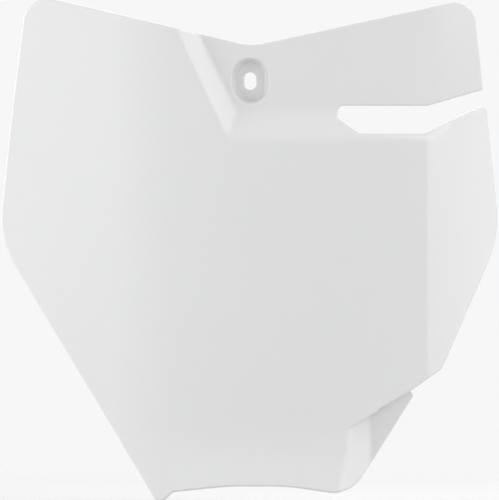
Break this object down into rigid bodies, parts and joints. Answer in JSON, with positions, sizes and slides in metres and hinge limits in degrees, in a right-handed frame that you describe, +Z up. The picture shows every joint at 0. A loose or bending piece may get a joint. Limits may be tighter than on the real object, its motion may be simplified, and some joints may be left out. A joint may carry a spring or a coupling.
{
  "type": "racing number board",
  "caption": "Curved one-piece moulded plastic number board for the front of an off-road motorcycle, with a bolt slot in an oval cup, an open hose slot and a set-back flap at the foot.",
  "frame": {"origin": "centre of the bolt slot, in the plane of the seat at the board's back", "axes": "+Z up the board, -Y out of its face, +X to the right as seen from the front"},
  "size_m": [0.2689, 0.0431, 0.2712],
  "materials": {
    "white_plastic": "gloss"
  },
  "bodies": {
    "root": {"number_board": "white_plastic"}
  },
  "joints": []
}
